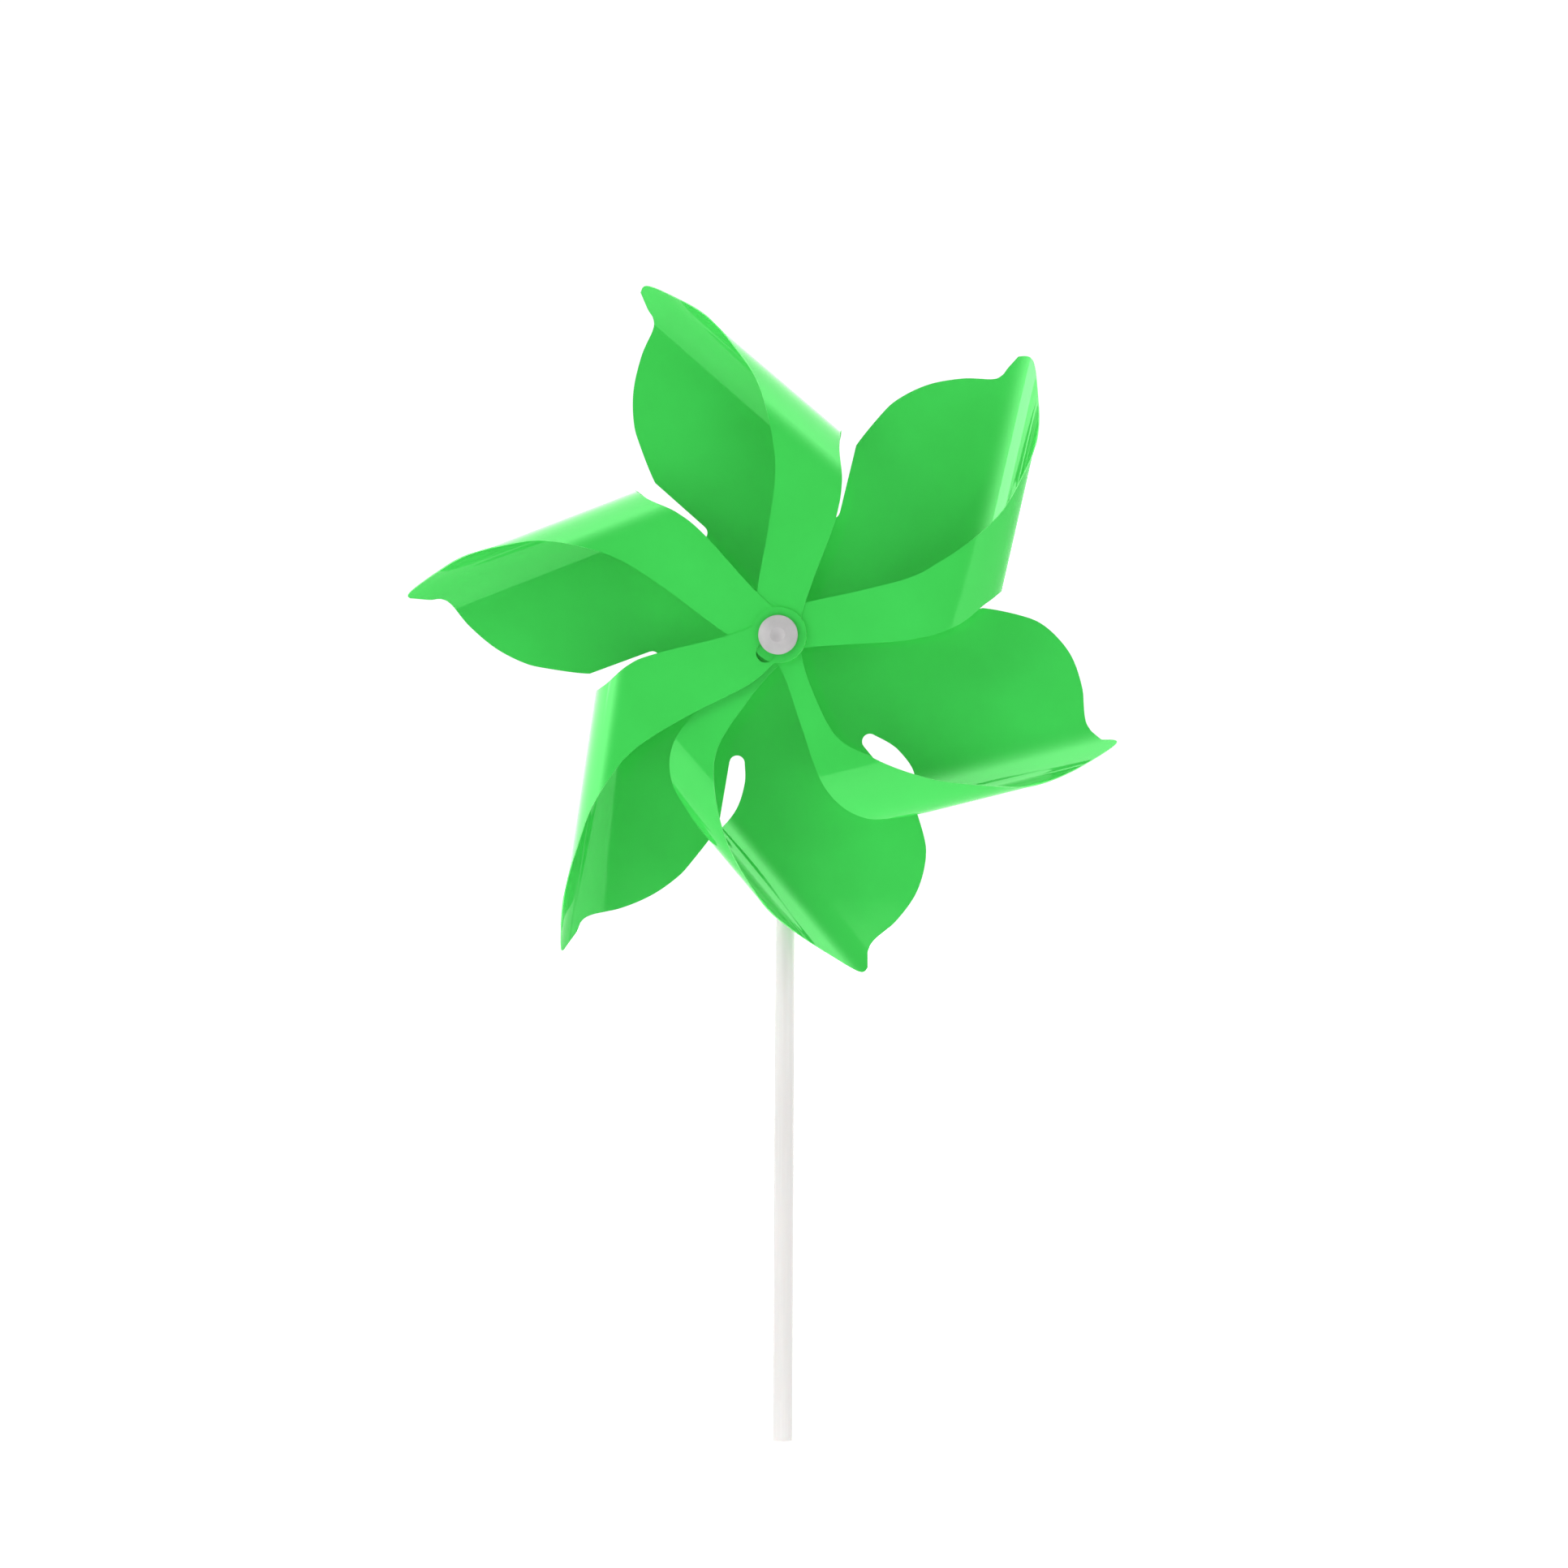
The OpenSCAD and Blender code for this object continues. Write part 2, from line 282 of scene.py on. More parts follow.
def make_piece(
    name: str, bm: bmesh.types.BMesh, materials: Iterable[bpy.types.Material]
) -> bpy.types.Object:
    """Turns a mesh in the making into a smooth-shaded object.

    Args:
        name: The piece's name.
        bm: Its mesh, which is freed.
        materials: Its materials, in the order of the faces' material numbers.

    Returns:
        The new object, at the frame's origin.
    """
    bmesh.ops.remove_doubles(bm, verts=bm.verts, dist=WELD)
    bmesh.ops.dissolve_degenerate(bm, edges=bm.edges, dist=WELD / 4)
    bmesh.ops.recalc_face_normals(bm, faces=bm.faces)
    mesh = bpy.data.meshes.new(name)
    bm.to_mesh(mesh)
    bm.free()
    for material in materials:
        mesh.materials.append(material)
    piece = bpy.data.objects.new(name, mesh)
    bpy.context.scene.collection.objects.link(piece)
    soften(piece)
    return piece


def soften(piece: bpy.types.Object) -> None:
    """Shades a piece smooth, apart from its real edges.

    Args:
        piece: The piece to shade.
    """
    piece.data.shade_smooth()
    piece.data.set_sharp_from_angle(angle=SHARP)


def apply_modifiers(piece: bpy.types.Object) -> None:
    """Makes a piece's modifiers part of its mesh.

    Args:
        piece: The piece, which keeps its name and materials.
    """
    evaluated = piece.evaluated_get(bpy.context.evaluated_depsgraph_get())
    mesh = bpy.data.meshes.new_from_object(evaluated)
    piece.modifiers.clear()
    piece.data = mesh
    soften(piece)


def carve(piece: bpy.types.Object, *cutters: bpy.types.Object) -> None:
    """Cuts closed shapes out of a piece and removes them.

    Args:
        piece: The piece to cut.
        *cutters: Closed shapes to take away.
    """
    for cutter in cutters:
        cut = piece.modifiers.new("cut", "BOOLEAN")
        cut.operation = "DIFFERENCE"
        cut.solver = "EXACT"
        cut.object = cutter
    apply_modifiers(piece)
    for cutter in cutters:
        bpy.data.objects.remove(cutter)


def rounded(corners: Sequence[Corner], steps: int = 6) -> list[Pair]:
    """Rounds the corners of an open outline.

    Args:
        corners: [radius from the axis, height along it, size of the rounding] of each corner.
        steps: Points round each rounding, less one.

    Returns:
        The outline's points.
    """
    points: list[Pair] = []
    for i, (r, h, size) in enumerate(corners):
        here = Vector((r, h))
        if size == 0 or i in (0, len(corners) - 1):
            points.append((r, h))
            continue
        back = (Vector(corners[i - 1][:2]) - here).normalized()
        ahead = (Vector(corners[i + 1][:2]) - here).normalized()
        half = back.angle(ahead) / 2
        reach = size / math.tan(half)
        centre = here + (back + ahead).normalized() * size / math.sin(half)
        start = here + back * reach - centre
        end = here + ahead * reach - centre
        for j in range(steps + 1):
            spoke = start.slerp(end, j / steps) if start.length else start
            points.append(tuple(centre + spoke.normalized() * size))
    return points


def cap_curve(edge: Pair, rise: float, steps: int = 12) -> list[Corner]:
    """Points of a shallow ball cap, from its edge in to the axis.

    Args:
        edge: [radius, height] of the cap's edge.
        rise: Height of its middle over its edge, negative for a hollow.
        steps: Points from the edge to the middle.

    Returns:
        The points as corners without rounding, the edge itself left out.
    """
    radius = (edge[0] ** 2 + rise**2) / (2 * abs(rise))
    sign = math.copysign(1, rise)
    middle = edge[1] + rise - sign * radius
    reach = math.asin(edge[0] / radius)
    turns = [reach * (1 - (i + 1) / steps) for i in range(steps)]
    return [(radius * math.sin(t), middle + sign * radius * math.cos(t), 0.0) for t in turns]


def lathe(outline: Sequence[Pair], place: Matrix, around: int = 96) -> bmesh.types.BMesh:
    """Turns an outline round an axis.

    Args:
        outline: [radius, height] of each point.
        place: Carries the lathe's axis, which is +Z, to the piece's place.
        around: Points round the axis.

    Returns:
        The turned mesh.
    """
    bm = bmesh.new()
    turns = [2 * math.pi * i / around for i in range(around)]
    rings = [
        [bm.verts.new(place @ Vector((r * math.cos(a), r * math.sin(a), h))) for a in turns]
        for r, h in outline
    ]
    for low, high in zip(rings, rings[1:]):
        for i in range(around):
            j = (i + 1) % around
            bm.faces.new((low[i], low[j], high[j], high[i]))
    return bm


def rod(radius: float, length: float, place: Matrix) -> bpy.types.Object:
    """Makes a plain rod to cut with.

    Args:
        radius: The rod's radius.
        length: Its length, half of it each side of the place's origin.
        place: Carries +Z to the rod's axis.

    Returns:
        The rod, to be given to carve().
    """
    half = length / 2
    outline = [(0, -half), (radius, -half), (radius, half), (0, half)]
    return make_piece("cutter", lathe(outline, place), [])


# --- The axle's line --------------------------------------------------------------------


@dataclass(frozen=True)
class Axle:
    """The line that the wheel turns on, read from the frame.

    Forward distances start where the axle crosses the stick's middle and run along -Y.
    """

    height: float
    pin_radius: float
    place: Matrix

    @staticmethod
    def from_frame() -> "Axle":
        """Returns the axle that the frame's pin lies on."""
        low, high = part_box("axle_pin")
        middle = (low + high) / 2
        place = Matrix.Translation((middle.x, 0, middle.z)) @ Matrix.Rotation(math.radians(90), 4, "X")
        return Axle(height=middle.z, pin_radius=(high.x - low.x) / 2, place=place)

    def span(self, node: str) -> Pair:
        """Forward distances of a node's back and front.

        Args:
            node: The node's name.

        Returns:
            [back, front].
        """
        low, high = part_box(node)
        return -high.y, -low.y


# --- The vane sheet ---------------------------------------------------------------------


@dataclass(frozen=True)
class Outline:
    """The edges of a vane, each point as shares of the vane's length and stations.

    The leading edge is [share of the length from the axle, degrees past its slot] and the side
    edge [the same share, degrees before the next slot]. The outer and inner edges are [share
    of the length along the roll, station].
    """

    lead: tuple[Pair, ...]
    outer: tuple[Pair, ...]
    side: tuple[Pair, ...]
    inner: tuple[Pair, ...]

    def towards(self, other: "Outline", share: float) -> "Outline":
        """Blends two outlines.

        Args:
            other: The outline reached at a share of 1.
            share: How far to go.

        Returns:
            The blended outline.
        """

        def mix(a: tuple[Pair, ...], b: tuple[Pair, ...]) -> tuple[Pair, ...]:
            """Returns one edge blended towards the other outline's."""
            return tuple(
                (p[0] + (q[0] - p[0]) * share, p[1] + (q[1] - p[1]) * share) for p, q in zip(a, b)
            )

        return Outline(
            mix(self.lead, other.lead), mix(self.outer, other.outer),
            mix(self.side, other.side), mix(self.inner, other.inner),
        )


FREE_VANE = Outline(
    lead=((0.5, -1.4), (0.584, -1.4), (0.711, 1.8), (0.775, 3.6), (0.854, 6.8), (0.933, 10.8),
          (0.992, 14.2), (1.024, 14.9), (1.059, 14.5), (1.118, 14.4)),
    outer=((0.99, 1.32), (0.88, 1.42), (0.785, 1.53), (0.688, 1.62), (0.57, 1.72), (0.435, 1.93),
           (0.356, 2.11), (0.26, 2.43), (0.154, 2.83)),
    side=((0.42, 3.9), (0.462, 5), (0.526, 5.9)),
    inner=((0.245, 1.5), (0.22, 1.72), (0.152, 1.92), (0.105, 2.13), (0.026, 2.62), (-0.028, 2.86)),
)
TIGHT_VANE = Outline(
    lead=((0.48, 1.1), (0.568, 0.3), (0.696, 3.8), (0.767, 6.7), (0.838, 11.8), (0.889, 17.6),
          (0.921, 22.6), (0.945, 24.2), (0.968, 24.7), (0.996, 25.1)),
    outer=((0.885, 1.18), (0.78, 1.28), (0.65, 1.41), (0.53, 1.56), (0.364, 1.71), (0.22, 1.91),
           (0.135, 2.12), (0.09, 2.48), (0.067, 2.82)),
    side=((0.442, 5.4), (0.52, 5.1), (0.59, 2.4)),
    inner=((0.302, 1.48), (0.235, 1.58), (0.12, 1.69), (0.035, 1.93), (0.004, 2.37), (-0.02, 2.77)),
)


def smooth_run(points: np.ndarray, steps: int = 12) -> np.ndarray:
    """Runs a smooth curve through points.

    Args:
        points: The points, one a row.
        steps: Points from one to the next.

    Returns:
        The curve's points, one a row.
    """
    ends = np.vstack([points[:1], points, points[-1:]])
    a, b, c, d = (ends[i : len(ends) - 3 + i, None] for i in range(4))
    t = (np.arange(steps) / steps)[None, :, None]
    square, cube = 2 * a - 5 * b + 4 * c - d, 3 * b - a - 3 * c + d
    curve = 0.5 * (2 * b + (c - a) * t + square * t**2 + cube * t**3)
    return np.vstack([curve.reshape(-1, 2), points[-1:]])


def lookup(station: np.ndarray, edge: np.ndarray) -> np.ndarray:
    """Finds an edge's place along the roll.

    Args:
        station: Stations to look at.
        edge: The edge's points, as [along, station].

    Returns:
        The distance along the roll at each station.
    """
    order = np.argsort(edge[:, 1], kind="stable")
    return np.interp(station, edge[order, 1], edge[order, 0])


@dataclass(frozen=True)
class RollSection:
    """Section across a roll whose bend grows smoothly from nothing to half a turn."""

    steps: int = 480

    def tables(self) -> tuple[np.ndarray, np.ndarray, np.ndarray]:
        """Sums the section.

        Returns:
            Share of the roll, and how far out and forward it has gone by then.
        """
        share = np.arange(self.steps + 1) / self.steps
        middle = (share[1:] + share[:-1]) / 2
        bend = np.radians(90) * (1 - np.cos(np.pi * middle))
        out = np.concatenate([[0], np.cumsum(np.cos(bend))]) / self.steps
        rise = np.concatenate([[0], np.cumsum(np.sin(bend))]) / self.steps
        return share, out, rise


@dataclass(frozen=True)
class VaneSheet:
    """One die-cut sheet: a six-sided middle and six vanes rolled forward to the axle.

    On a vane, u runs along the roll and v outward across it. A station runs 0 to 1 over the
    flat root, 1 to 2 round the roll, and 2 to 3 along the strip that ends in the eye tab.
    Vanes count from the rearmost eye tab to the foremost one.
    """

    axle: Axle
    thickness: float = 0.4 * MM
    tab_rise: float = 26 * MM
    tab_pitch: float = 0.45 * MM
    slot_centre: float = 49.85 * MM
    slot_radius: float = 2.85 * MM
    vane_length: float = 126.5 * MM
    tab_radius: float = 10.2 * MM
    eye_radius: float = 3.6 * MM
    eye_run: float = 8 * MM
    eye_turn: float = 27
    hub_gap: float = 0.33 * MM
    tip_round: float = 0.04
    eye_lead: float = 0.4
    slot_lean: float = 20
    slot_turn: float = 309.5
    roll_turn: tuple[float, ...] = (1, 4.8, 7.8, 10.2, 11.5, 12.3)
    roll_length: tuple[float, ...] = (50 * MM, 68.5 * MM, 67 * MM, 57 * MM, 51.5 * MM, 41 * MM)
    settle: tuple[float, ...] = (1, 1.2, 0.45, 0.2, 0.08, 0)
    root_end: float = 1.2
    columns: int = 10
    disc_rings: int = 8
    row_step: float = 0.0025

    @property
    def flat(self) -> float:
        """Distance from the axle that stays flat before the roll starts."""
        return self.slot_centre

    def corner(self, k: int, side: int) -> np.ndarray:
        """Centre of a slot's round end in a vane's own frame.

        Args:
            k: The vane.
            side: 0 for the vane's own slot and 1 for the next one.

        Returns:
            [u, v].
        """
        turn = math.radians(self.roll_turn[k] + 60 * side)
        return self.slot_centre * np.array([math.cos(turn), math.sin(turn)])

    def section(self, k: int, station: np.ndarray) -> tuple[np.ndarray, np.ndarray]:
        """Follows a vane's section.

        Args:
            k: The vane.
            station: Stations along it.

        Returns:
            How far out from the axle, and how far forward of the middle, each one is.
        """
        share, out, rise = RollSection().tables()
        depth = self.tab_rise + k * self.tab_pitch
        x = np.clip(station - 1, 0, 1)
        rolled = self.flat + self.roll_length[k] * np.interp(x, share, out)
        strip = np.where(station > 2, (3 - station) * self.flat, rolled)
        v = np.where(station < 1, station * self.flat, strip)
        return v, depth * np.interp(x, share, rise) / rise[-1]

    def rear_station(self, k: int, out: np.ndarray) -> np.ndarray:
        """Station on the root or the roll's rear half that lies a given distance out.

        Args:
            k: The vane.
            out: Distances out from the axle.

        Returns:
            The stations.
        """
        share, reach, _ = RollSection().tables()
        rear = len(share) // 2 + 1
        rolled = 1 + np.interp((out - self.flat) / self.roll_length[k], reach[:rear], share[:rear])
        return np.where(out < self.flat, out / self.flat, rolled)

    def rear_points(self, k: int, polar: np.ndarray) -> np.ndarray:
        """Places points given by their distance and direction from the axle.

        Args:
            k: The vane.
            polar: [share of the vane's length, degrees from the roll's line] of each point.

        Returns:
            [u, station] of each point.
        """
        reach, turn = polar[:, 0] * self.vane_length, np.radians(polar[:, 1])
        return np.column_stack([reach * np.cos(turn), self.rear_station(k, reach * np.sin(turn))])

    def inner_start(self, k: int) -> np.ndarray:
        """Where a vane's near edge leaves the round end of the next slot.

        Args:
            k: The vane.

        Returns:
            [u, v].
        """
        turn = math.radians(self.roll_turn[k] + 60 - self.slot_lean)
        return self.corner(k, 1) + self.slot_radius * np.array([math.sin(turn), -math.cos(turn)])

    def edges(self, k: int) -> tuple[np.ndarray, np.ndarray]:
        """The far and near edges of a vane beyond its slots' round ends.

        Args:
            k: The vane.

        Returns:
            Each edge's points, as [u, station].
        """
        form = FREE_VANE.towards(TIGHT_VANE, self.settle[k])
        own = self.corner(k, 0)
        lead = self.rear_points(k, np.array(form.lead) + [0, self.roll_turn[k]])
        side = self.rear_points(k, [0, self.roll_turn[k] + 60] + np.array(form.side) * [1, -1])
        outer = np.array(form.outer) * [self.vane_length, 1]
        first = max(outer[0, 1], lead[-1, 1] + self.tip_round)
        outer[:, 1] = 3 - (3 - outer[:, 1]) * (3 - first) / (3 - outer[0, 1])
        inner = np.array(form.inner) * [self.vane_length, 1]
        lead_start = [own[0], (own[1] + self.slot_radius) / self.flat]
        inner_start = self.inner_start(k) / [1, self.flat]
        far = [
            smooth_run(np.vstack([lead_start, lead])),
            smooth_run(np.vstack([lead[-1], outer, [self.tab_radius, 3]])),
        ]
        near = smooth_run(np.vstack([inner_start, side, inner, [-self.tab_radius, 3]]))
        return np.vstack(far), near

    def eye(self, k: int) -> np.ndarray:
        """End centres of an eye tab's pin slot.

        The pin sits at the slot's inner end on the foremost tab and halfway along on the rest.

        Args:
            k: The vane.

        Returns:
            [[u, v], [u, v]] of the inner and the outer end's centre.
        """
        turn = math.radians(self.eye_turn)
        aim = self.eye_run * np.array([math.cos(turn), math.sin(turn)])
        slip = 0.0 if k == len(self.roll_turn) - 1 else 0.5
        return np.array([-slip * aim, (1 - slip) * aim])

    def side_end(self, k: int) -> float:
        """How far out the disc's straight side runs before it meets the next slot's round end.

        Args:
            k: The vane beside that side.

        Returns:
            The distance out from the axle, across the roll.
        """
        own, following = self.corner(k, 0), self.corner(k, 1)
        return following[1] - self.slot_radius * (following[1] - own[1]) / np.linalg.norm(following - own)

    def stations(self, k: int, far: np.ndarray, near: np.ndarray, eye: np.ndarray) -> np.ndarray:
        """Stations of a vane's rows, closer together where its outline turns quickly.

        Args:
            k: The vane.
            far: Its far edge.
            near: Its near edge.
            eye: End centres of its pin slot.

        Returns:
            The stations in order, each at least a little past the one before.
        """
        turns = np.radians(np.linspace(0, 90, 10))
        own, following = self.corner(k, 0), self.corner(k, 1)
        side = (following - own) / np.linalg.norm(following - own)
        first, last = own + side * self.slot_radius, following - side * self.slot_radius
        own_arc = own[1] + self.slot_radius * np.sin(turns)
        next_arc = following[1] - self.slot_radius * np.cos(turns)
        swing = self.eye_radius * np.concatenate([-np.cos(turns), np.sin(turns)])
        eye_arcs = np.concatenate([eye[0, 1] + swing, eye[1, 1] + swing])
        flats = np.concatenate([own_arc, next_arc, np.linspace(first[1], self.flat, 26), [last[1]]])
        wanted = np.concatenate([
            flats / self.flat,
            np.linspace(1, 2, 110),
            np.linspace(2, 3, 60),
            far[:, 1], near[:, 1],
            3 - eye_arcs / self.flat,
            3 + self.tab_radius * np.sin(np.linspace(0, math.pi / 2, 22)) / self.flat,
        ])
        start = first[1] / self.flat
        end = 3 + self.tab_radius / self.flat
        fixed = np.array([
            start, last[1] / self.flat,
            (own[1] + self.slot_radius) / self.flat,
            self.inner_start(k)[1] / self.flat,
            3 - (eye[0, 1] - self.eye_radius) / self.flat,
            3 - (eye[1, 1] + self.eye_radius) / self.flat,
            end,
        ])
        kept: list[float] = []
        for s in sorted(wanted[(wanted > start) & (wanted < end)]):
            if np.min(np.abs(fixed - s)) > self.row_step and (not kept or s - kept[-1] > self.row_step):
                kept.append(s)
        return np.sort(np.concatenate([kept, fixed]))

    def row_ends(
        self, k: int, station: np.ndarray, far: np.ndarray, near: np.ndarray
    ) -> tuple[np.ndarray, np.ndarray]:
        """Ends of a vane's rows, with the slots' round ends and the eye tab's.

        Args:
            k: The vane.
            station: The rows' stations.
            far: The vane's far edge.
            near: Its near edge.

        Returns:
            u at the near and the far end of each row.
        """
        own, following = self.corner(k, 0), self.corner(k, 1)
        v, _ = self.section(k, station)
        root = station <= self.root_end
        r = self.slot_radius

        def arc(centre: np.ndarray) -> np.ndarray:
            """Returns half the width of a slot's round end on each row."""
            return np.sqrt(np.maximum(r**2 - (v - centre[1]) ** 2, 0))

        side = own[0] + (following[0] - own[0]) * (v - own[1]) / (following[1] - own[1])
        touch = self.side_end(k)
        on_arc = root & (v > touch) & (v < self.inner_start(k)[1])
        low = np.where(root & (v <= touch), side, lookup(station, near))
        low = np.where(on_arc, following[0] + arc(following), low)
        high = np.where(root & (v < own[1] + r), own[0] - arc(own), lookup(station, far))
        tab = np.sqrt(np.maximum(self.tab_radius**2 - v**2, 0))
        strip = station > 2
        beyond = station >= 3
        low = np.where(beyond, -tab, np.where(strip & (tab > 0), np.minimum(low, -tab), low))
        high = np.where(beyond, tab, np.where(strip & (tab > 0), np.maximum(high, tab), high))
        return low, high

    def eye_sides(
        self, station: np.ndarray, v: np.ndarray, eye: np.ndarray
    ) -> tuple[np.ndarray, np.ndarray]:
        """Sides of the pin slot on each row, both on its middle line past its ends.

        Args:
            station: The rows' stations.
            v: Their distances out from the axle.
            eye: End centres of the pin slot.

        Returns:
            u at the slot's left and right side, which are equal where the row misses it.
        """
        r = self.eye_radius
        inner, outer = eye
        way = outer - inner
        middle = inner[0] + np.clip((v - inner[1]) / way[1], 0, 1) * way[0]
        square = np.array([-way[1], way[0]]) / np.linalg.norm(way) * r
        left, right = middle.copy(), middle.copy()
        for centre in (inner, outer):
            half = np.sqrt(np.maximum(r**2 - (v - centre[1]) ** 2, 0))
            left = np.minimum(left, np.where(half > 0, centre[0] - half, left))
            right = np.maximum(right, np.where(half > 0, centre[0] + half, right))
        for sign in (1, -1):
            along = (v - inner[1] - sign * square[1]) / way[1]
            u = inner[0] + sign * square[0] + along * way[0]
            inside = (along >= 0) & (along <= 1)
            left = np.where(inside, np.minimum(left, u), left)
            right = np.where(inside, np.maximum(right, u), right)
        hit = (station > 2.5) & (v > inner[1] - r) & (v < outer[1] + r)
        return np.where(hit, left, middle), np.where(hit, right, middle)

    def rows(self, k: int) -> tuple[np.ndarray, int]:
        """Places of a vane's grid.

        Args:
            k: The vane.

        Returns:
            The places, as [row, column, axis] forward of the axle's crossing with the stick,
            and the number of rows whose near end lies on the disc's side.
        """
        far, near = self.edges(k)
        eye = self.eye(k)
        station = self.stations(k, far, near, eye)
        v, w = self.section(k, station)
        low, high = self.row_ends(k, station, far, near)
        eye_left, eye_right = self.eye_sides(station, v, eye)
        reached = 3 - (eye[1, 1] + self.eye_radius) / self.flat
        strip = np.clip((station - reached + self.eye_lead) / self.eye_lead, 0, 1)
        strip = strip * strip * (3 - 2 * strip)
        middle = (low + high) / 2
        inset = (high - low) / 4
        missed = eye_left == eye_right
        eye_left, eye_right = (
            np.where(missed, np.clip(side, low + inset, high - inset), side)
            for side in (eye_left, eye_right)
        )
        left = middle + (eye_left - middle) * strip
        right = middle + (eye_right - middle) * strip
        t = np.linspace(0, 1, self.columns + 1)
        u = np.hstack([
            low[:, None] + (left - low)[:, None] * t,
            right[:, None] + (high - right)[:, None] * t,
        ])
        turn = math.radians(self.slot_turn + 60 * k + self.roll_turn[k])
        x = u * math.cos(turn) + v[:, None] * math.sin(turn)
        y = u * math.sin(turn) - v[:, None] * math.cos(turn)
        back, front = self.axle.span("vane_disc")
        z = np.broadcast_to(w[:, None] + (back + front) / 2, u.shape)
        on_side = int(np.sum((station < self.root_end) & (v <= self.side_end(k) + WELD / 2)))
        return np.stack([x, y, z], axis=2), on_side

    def disc_border(self, k: int, grid: np.ndarray, on_side: int) -> list[np.ndarray]:
        """The disc's border along one vane and round the slot end after it.

        Args:
            k: The vane.
            grid: The vane's grid.
            on_side: How many of its rows start on the disc's side.

        Returns:
            The border's points, going clockwise seen from the front.
        """
        side = [grid[i, 0] for i in range(on_side)]
        turn = math.radians(self.slot_turn + 60 * (k - 1))
        centre = self.slot_centre * np.array([math.cos(turn), math.sin(turn)])
        arc = []
        for i in range(1, 12):
            a = turn + math.pi - math.radians(60 - 10 * i)
            spot = centre + self.slot_radius * np.array([math.cos(a), math.sin(a)])
            arc.append(np.array([*spot, side[0][2]]))
        return side + arc

    def middle_surface(self) -> bmesh.types.BMesh:
        """Returns the sheet's middle surface, with no thickness yet."""
        bm = bmesh.new()
        place = self.axle.place
        border: list[np.ndarray] = []
        for k in range(len(self.roll_turn) - 1, -1, -1):
            grid, on_side = self.rows(k)
            verts = [[bm.verts.new(place @ Vector(p)) for p in row] for row in grid]
            halves = (range(self.columns), range(self.columns + 1, 2 * self.columns + 1))
            for low, high in zip(verts, verts[1:]):
                for half in halves:
                    for c in half:
                        bm.faces.new((low[c], low[c + 1], high[c + 1], high[c]))
            border += self.disc_border(k, grid, on_side)
        bore = self.axle.pin_radius + self.hub_gap
        rings = []
        for i in range(self.disc_rings + 1):
            share = i / self.disc_rings
            ring = []
            for p in border:
                flat = p[:2]
                inner = flat / np.linalg.norm(flat) * bore
                ring.append(bm.verts.new(place @ Vector((*(flat + (inner - flat) * share), p[2]))))
            rings.append(ring)
        for low, high in zip(rings, rings[1:]):
            for i in range(len(border)):
                j = (i + 1) % len(border)
                bm.faces.new((low[i], low[j], high[j], high[i]))
        return bm

    def build(self) -> bpy.types.Object:
        """Builds the sheet with its thickness and dresses it.

        Returns:
            The sheet, riding on the wheel.
        """
        finishes = [SheetFinish().make(), CutEdgePaintedHighlightFinish().make()]
        sheet = make_piece("vane_sheet_whole", self.middle_surface(), finishes)
        shell = sheet.modifiers.new("thickness", "SOLIDIFY")
        shell.thickness = self.thickness
        shell.offset = 0
        shell.use_even_offset = False
        # The rim faces take the cut-edge material, whose paler colour is a painted highlight.
        shell.material_offset_rim = 1
        apply_modifiers(sheet)
        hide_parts("vane_disc", *(f"vane_{k + 1}" for k in range(len(self.roll_turn))))
        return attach(sheet, Body.WHEEL.value)


# --- Hub pieces -------------------------------------------------------------------------


@dataclass(frozen=True)
class Hub:
    """The pieces on the axle in front of and behind the sheet."""

    axle: Axle
    grey: MouldedFinish = MouldedFinish("grey_moulded", (0.38, 0.37, 0.375), (0.43, 0.415, 0.42))
    white: MouldedFinish = MouldedFinish("white_moulded", *WHITE_TONES)
    cap_rim: float = 1.4 * MM
    cap_dome: float = 2.2 * MM
    dimple_radius: float = 2.7 * MM
    dimple_deep: float = 1.1 * MM
    socket: float = 1.8 * MM
    retainer_wall: float = 0.8 * MM

    def finish(self, piece: bpy.types.Object, node: str, body: Body) -> bpy.types.Object:
        """Puts a piece in a node's stead.

        Args:
            piece: The piece.
            node: The node it stands for.
            body: The body it rides on.

        Returns:
            The piece.
        """
        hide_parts(node)
        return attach(piece, body.value)

    def cap(self, grey: bpy.types.Material) -> bpy.types.Object:
        """Builds the domed front cap with its dimple and its socket for the pin.

        Args:
            grey: The grey plastic.

        Returns:
            The cap.
        """
        back, _ = self.axle.span("front_cap")
        low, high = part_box("front_cap")
        r = (high.x - low.x) / 2
        rim = back + self.cap_rim
        full = rim + self.cap_dome
        ball = (r**2 + self.cap_dome**2) / (2 * self.cap_dome)
        turns = np.linspace(math.asin(r / ball), math.asin(self.dimple_radius / ball), 16)[1:]
        dome_points = [(ball * math.sin(t), full - ball + ball * math.cos(t), 0.0) for t in turns[:-1]]
        lip = (self.dimple_radius, full - ball + ball * math.cos(turns[-1]), 0.35 * MM)
        hollow = cap_curve(lip[:2], -(self.dimple_deep - (full - lip[1])), 10)
        outline = rounded(
            [(0, back + self.socket, 0), (self.axle.pin_radius, back + self.socket, 0),
             (self.axle.pin_radius, back, 0.2 * MM), (r - 0.9 * MM, back, 0.3 * MM),
             (r - 0.5 * MM, back + 0.25 * MM, 0.2 * MM), (r, back + 0.35 * MM, 0.2 * MM),
             (r, rim, 0.45 * MM), *dome_points, lip, *hollow]
        )
        return make_piece("front_cap_moulded", lathe(outline, self.axle.place), [grey])

    def build(self) -> list[bpy.types.Object]:
        """Returns the front cap, in place and riding, after giving the frame's pin, retainer, spacer and
        sleeve their plastics.
        """
        grey, white = self.grey.make(), self.white.make()
        cap = self.finish(self.cap(grey), "front_cap", Body.STAND)
        carried = {"axle_pin": grey, "rear_retainer": grey, "saddle_spacer": white, "tab_sleeve": white}
        for node, material in carried.items():
            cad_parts[node].data.materials.clear()
            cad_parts[node].data.materials.append(material)
        return [cap]


